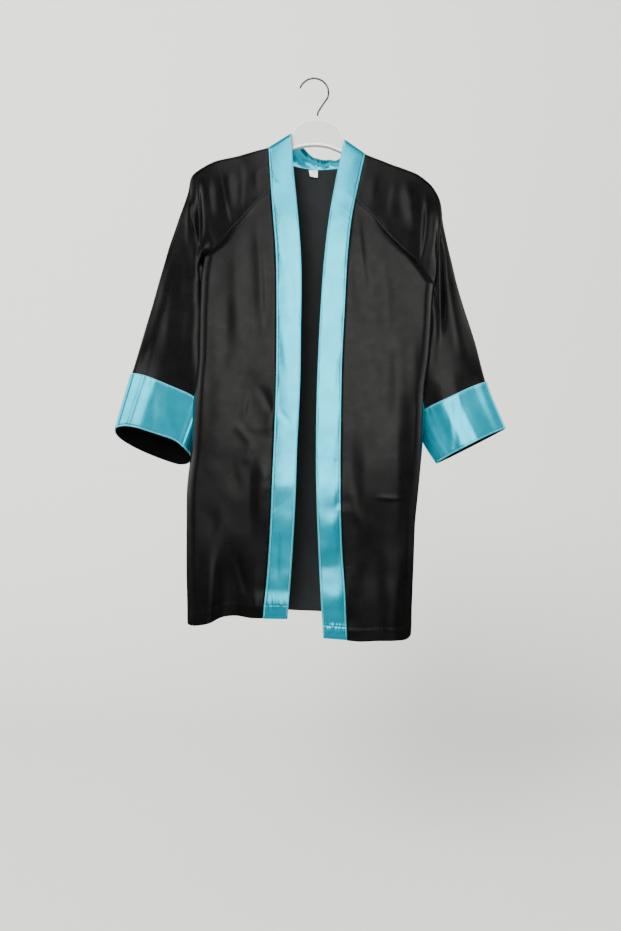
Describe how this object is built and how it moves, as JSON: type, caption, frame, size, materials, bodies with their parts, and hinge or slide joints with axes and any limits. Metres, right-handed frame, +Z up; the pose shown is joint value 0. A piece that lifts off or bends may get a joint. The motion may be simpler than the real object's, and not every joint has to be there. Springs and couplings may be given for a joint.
{
  "type": "graduation gown on hanger",
  "caption": "Child's open-front graduation gown with raglan sleeves, satin front bands and cuffs, hung on a flat hanger with a wire hook.",
  "frame": {"origin": "inside of the hook's top, where a rod or a nail carries the hanger", "axes": "+Z up, the open front faces -Y, +X to the right seen from the front (the wearer's left)"},
  "size_m": [0.6483, 0.0783, 0.9182],
  "materials": {
    "black_satin": "black polyester satin, soft sheen outside, matt inside",
    "turquoise_satin": "turquoise polyester satin, soft sheen, topstitched edges",
    "label_cloth": "white woven label, bare",
    "hanger_plastic": "moulded white plastic, slightly glossy",
    "hook_steel": "plated steel wire"
  },
  "bodies": {
    "root": {"front_right": "black_satin", "front_left": "black_satin", "back": "black_satin", "sleeve_right": "black_satin", "sleeve_left": "black_satin", "cuff_right": "turquoise_satin", "cuff_left": "turquoise_satin", "band_right": "turquoise_satin", "band_left": "turquoise_satin", "band_neck": "turquoise_satin", "label": "label_cloth", "hanger_body": "hanger_plastic", "hanger_hook": "hook_steel"}
  },
  "joints": []
}
